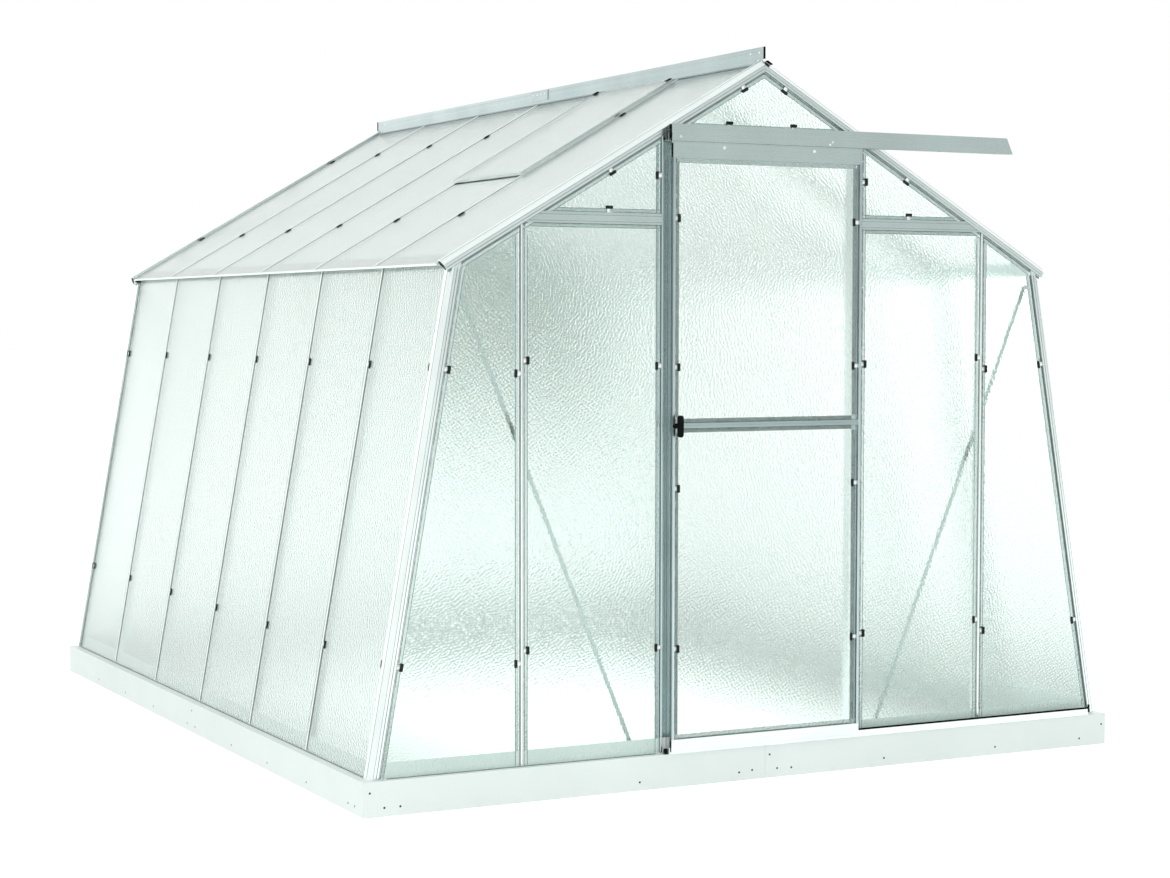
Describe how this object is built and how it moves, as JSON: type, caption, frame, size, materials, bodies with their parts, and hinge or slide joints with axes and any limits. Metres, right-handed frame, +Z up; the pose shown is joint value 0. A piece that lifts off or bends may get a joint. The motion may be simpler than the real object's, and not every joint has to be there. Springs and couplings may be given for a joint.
{
  "type": "glass greenhouse",
  "caption": "Walk-in greenhouse of aluminium bars and stippled glass, with leaning side walls, a pitched roof with a closed vent, and a sliding door in the front gable.",
  "frame": {"origin": "centre of the base frame, at ground level", "axes": "+Z up, X along the front gable to the right as seen from the front, +Y from the front gable to the rear gable along the ridge"},
  "size_m": [3.13, 3.7603, 2.643],
  "materials": {
    "aluminium": "mill finish, lightly brushed along the bars",
    "base_sheet": "pale satin sheet",
    "glass": "stippled horticultural glass",
    "steel": "zinc plated",
    "black_plastic": "matt moulded"
  },
  "bodies": {
    "house": {"base_front": "base_sheet", "base_rear": "base_sheet", "base_left": "base_sheet", "base_right": "base_sheet", "base_joint_plates": "base_sheet", "sill_front": "aluminium", "sill_rear": "aluminium", "sills_side": "aluminium", "wall_bars_left": "aluminium", "wall_bars_right": "aluminium", "roof_bars_left": "aluminium", "roof_bars_right": "aluminium", "eave_left": "aluminium", "eave_right": "aluminium", "ridge": "aluminium", "ridge_joint_plates": "aluminium", "corner_posts_left": "aluminium", "corner_posts_right": "aluminium", "rafters_front": "aluminium", "rafters_rear": "aluminium", "posts_front": "aluminium", "posts_rear": "aluminium", "door_posts": "aluminium", "rails_front": "aluminium", "rails_rear": "aluminium", "door_header": "aluminium", "gable_braces": "aluminium", "door_track": "aluminium", "door_guide": "aluminium", "vent_frame": "aluminium", "vent_sill": "aluminium", "vent_glass": "glass", "glass_wall_left": "glass", "glass_wall_right": "glass", "glass_roof_left": "glass", "glass_roof_right": "glass", "glass_gable_front": "glass", "glass_gable_rear": "glass"},
    "door_leaf": {"door_stiles": "aluminium", "door_top_rail": "aluminium", "door_middle_rail": "aluminium", "door_bottom_rail": "aluminium", "door_glass": "glass", "door_hangers": "steel", "door_rollers": "black_plastic", "door_handle": "black_plastic"}
  },
  "joints": [
    {"name": "door_slide", "type": "slide", "parent": "house", "child": "door_leaf", "axis": [1, 0, 0], "range_m": [0, 0.78]}
  ]
}
